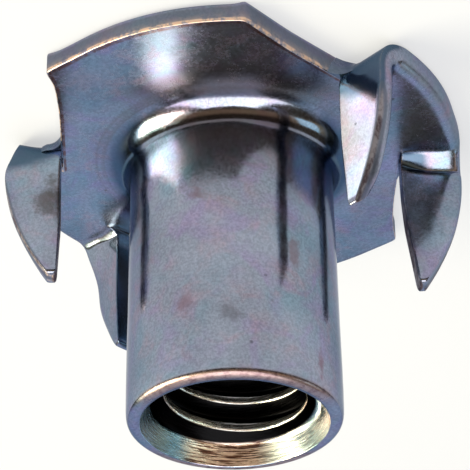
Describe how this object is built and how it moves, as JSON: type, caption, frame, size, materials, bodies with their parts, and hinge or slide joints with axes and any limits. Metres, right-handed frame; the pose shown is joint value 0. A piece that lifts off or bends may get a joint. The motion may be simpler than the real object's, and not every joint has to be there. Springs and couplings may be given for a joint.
{
  "type": "tee nut",
  "caption": "Tee nut pressed from one piece of zinc-plated sheet steel: a threaded barrel drawn out of a round flange, with folded pointed prongs at both ears.",
  "frame": {"origin": "on the thread's axis, at the outer face of the flange", "axes": "+Z along the thread's axis, from the flange towards the mouth of the barrel; +X out along one of the two ears that carry the prongs"},
  "size_m": [0.0222, 0.0222, 0.0157],
  "materials": {
    "zinc_steel": "bright zinc plate, passivated bluish with faint iridescence"
  },
  "bodies": {
    "root": {"tee_nut": "zinc_steel"}
  },
  "joints": []
}
